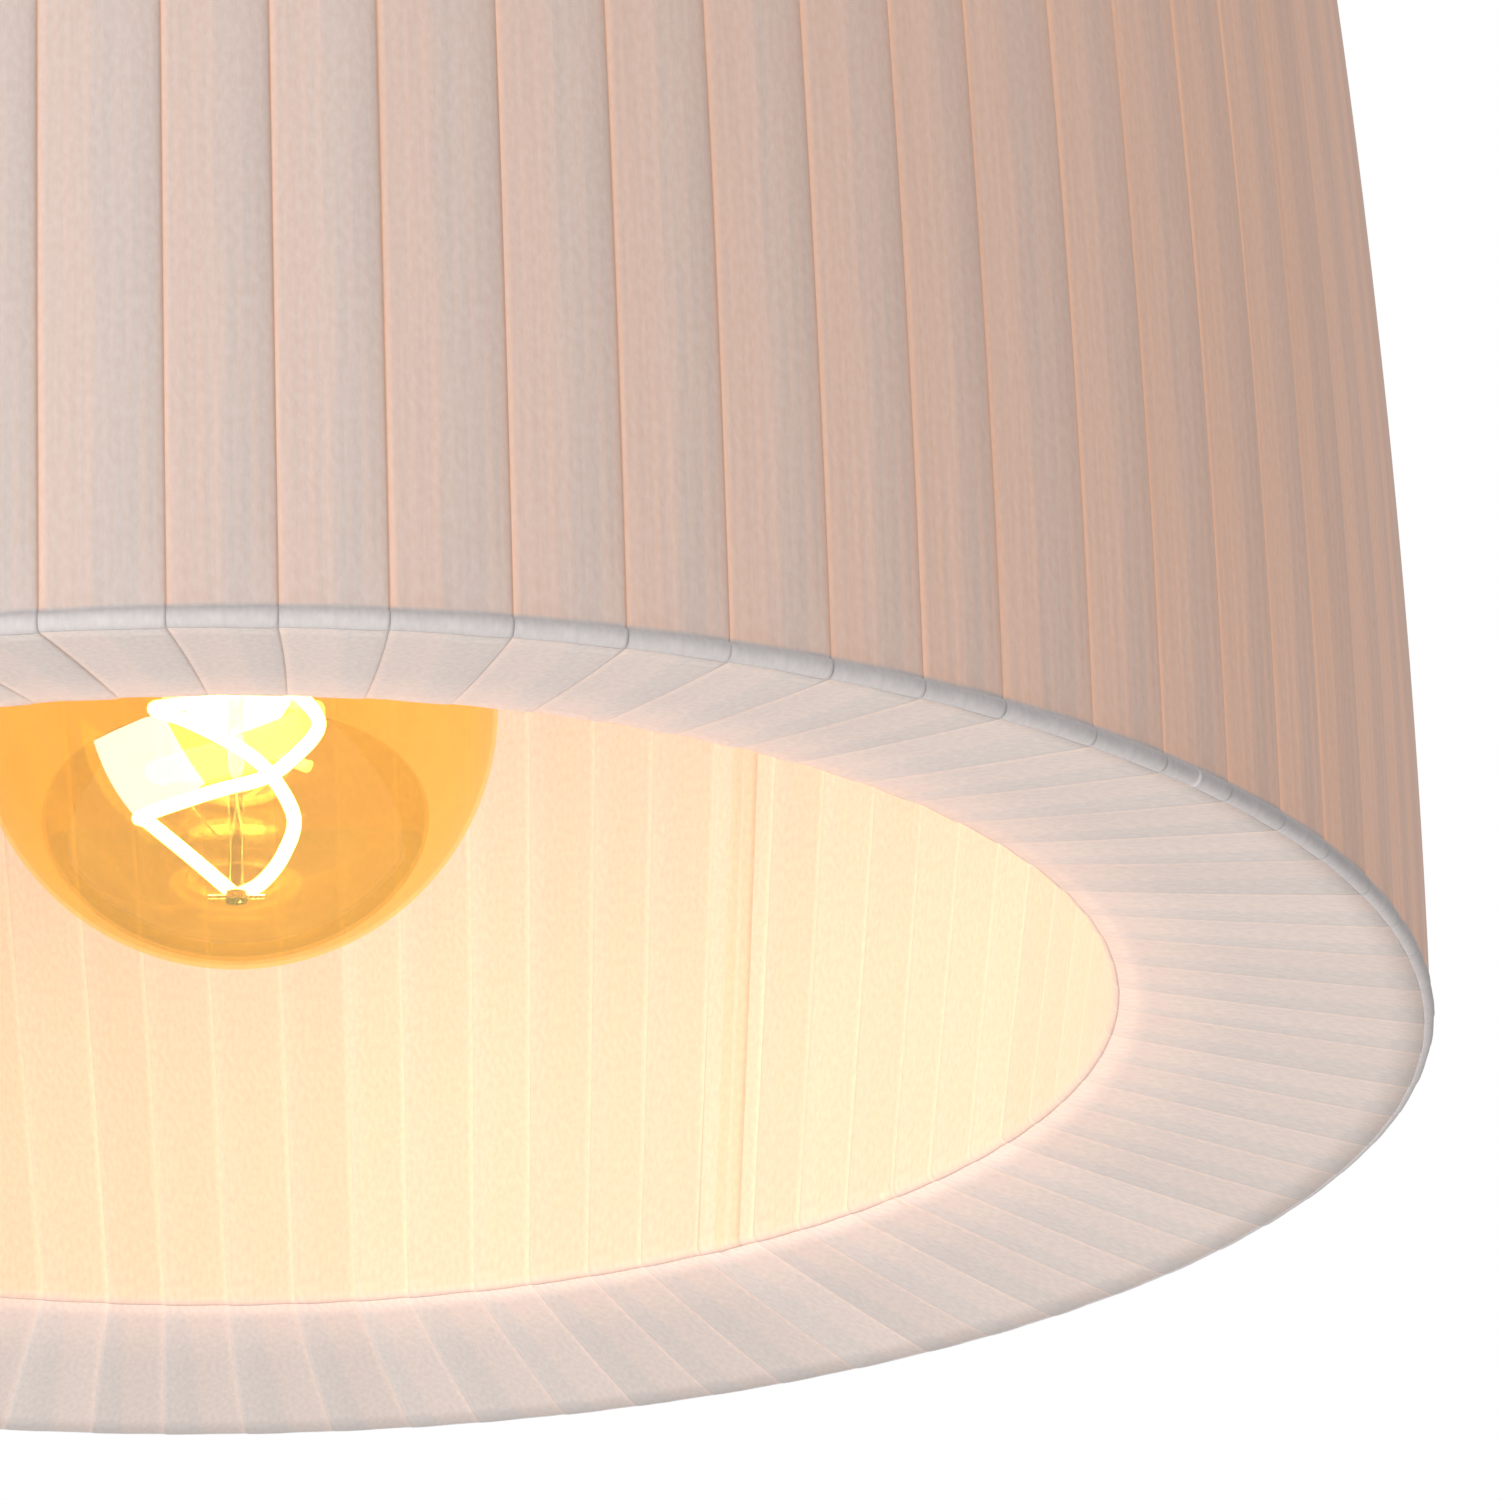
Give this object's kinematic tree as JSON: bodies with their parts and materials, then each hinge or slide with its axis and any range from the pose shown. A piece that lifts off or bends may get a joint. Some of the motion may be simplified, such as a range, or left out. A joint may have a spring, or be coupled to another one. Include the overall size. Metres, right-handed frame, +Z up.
{
  "type": "lamp shade",
  "caption": "Drum lamp shade wound with overlapping sheer ribbon over a double-walled wire frame, on an E27 lampholder with a clear amber globe bulb.",
  "frame": {"origin": "centre of the mouth of the M10 x 1 cord inlet, on top of the lampholder", "axes": "+Z up along the shade's axis, out of the cord inlet; -Y is the side seen in front from below; the shade hangs from the origin"},
  "size_m": [0.4219, 0.422, 0.253],
  "materials": {
    "outer_ribbon": "sheer ribbon, fine plain weave, satin sheen",
    "bottom_ribbon": "sheer ribbon, fine plain weave, satin sheen",
    "inner_ribbon": "sheer ribbon, fine plain weave, satin sheen",
    "frame_wire": "white powder coat",
    "spider": "white powder coat",
    "holder_plastic": "white moulded thermoplastic",
    "shade_ring": "white moulded thermoplastic, ribbed edge",
    "insert": "glazed steatite",
    "brass": "stamped",
    "screw_steel": "zinc plated",
    "amber_glass": "clear amber tint, polished",
    "stem_glass": "clear, polished",
    "bulb_cap": "rolled thread, satin",
    "solder": "solder, satin",
    "insulator": "black vitrite, glossy",
    "filament": "silicone coated phosphor, lit",
    "lead_wire": "drawn wire"
  },
  "bodies": {
    "lampholder": {"holder_cap": "holder_plastic", "cap_grub_screw": "screw_steel", "holder_skirt": "holder_plastic", "socket_insert": "insert", "thread_shell": "brass", "centre_contact": "brass", "terminal_blocks": "brass", "terminal_screws": "screw_steel"},
    "shade": {"bottom_inner_ring": "frame_wire", "bottom_outer_ring": "frame_wire", "bottom_ribbon": "bottom_ribbon", "bottom_strut_1": "frame_wire", "bottom_strut_2": "frame_wire", "bottom_strut_3": "frame_wire", "bottom_strut_4": "frame_wire", "bottom_strut_5": "frame_wire", "bottom_strut_6": "frame_wire", "fitter_ring": "spider", "inner_rib_1": "frame_wire", "inner_rib_2": "frame_wire", "inner_rib_3": "frame_wire", "inner_rib_4": "frame_wire", "inner_rib_5": "frame_wire", "inner_rib_6": "frame_wire", "inner_ribbon": "inner_ribbon", "outer_rib_1": "frame_wire", "outer_rib_2": "frame_wire", "outer_rib_3": "frame_wire", "outer_rib_4": "frame_wire", "outer_rib_5": "frame_wire", "outer_rib_6": "frame_wire", "outer_ribbon": "outer_ribbon", "spider_arm_1": "spider", "spider_arm_2": "spider", "spider_arm_3": "spider", "top_ring": "frame_wire"},
    "shade_ring": {"shade_ring": "shade_ring"},
    "bulb": {"bulb_glass": "amber_glass", "bulb_cap": "bulb_cap", "bulb_insulator": "insulator", "bulb_contact": "solder", "glass_stem": "stem_glass", "filament": "filament", "lead_wires": "lead_wire", "filament_hook": "lead_wire"}
  },
  "joints": [
    {"name": "shade_swivel", "type": "hinge", "parent": "lampholder", "child": "shade", "pos_m": [0, 0, -0.0483], "axis": [0, 0, 1], "continuous": true},
    {"name": "shade_ring_unscrew", "type": "slide", "parent": "lampholder", "child": "shade_ring", "axis": [0, 0, -1], "range_m": [0, 0.012]},
    {"name": "bulb_unscrew", "type": "slide", "parent": "lampholder", "child": "bulb", "axis": [0, 0, -1], "range_m": [0, 0.024]}
  ]
}
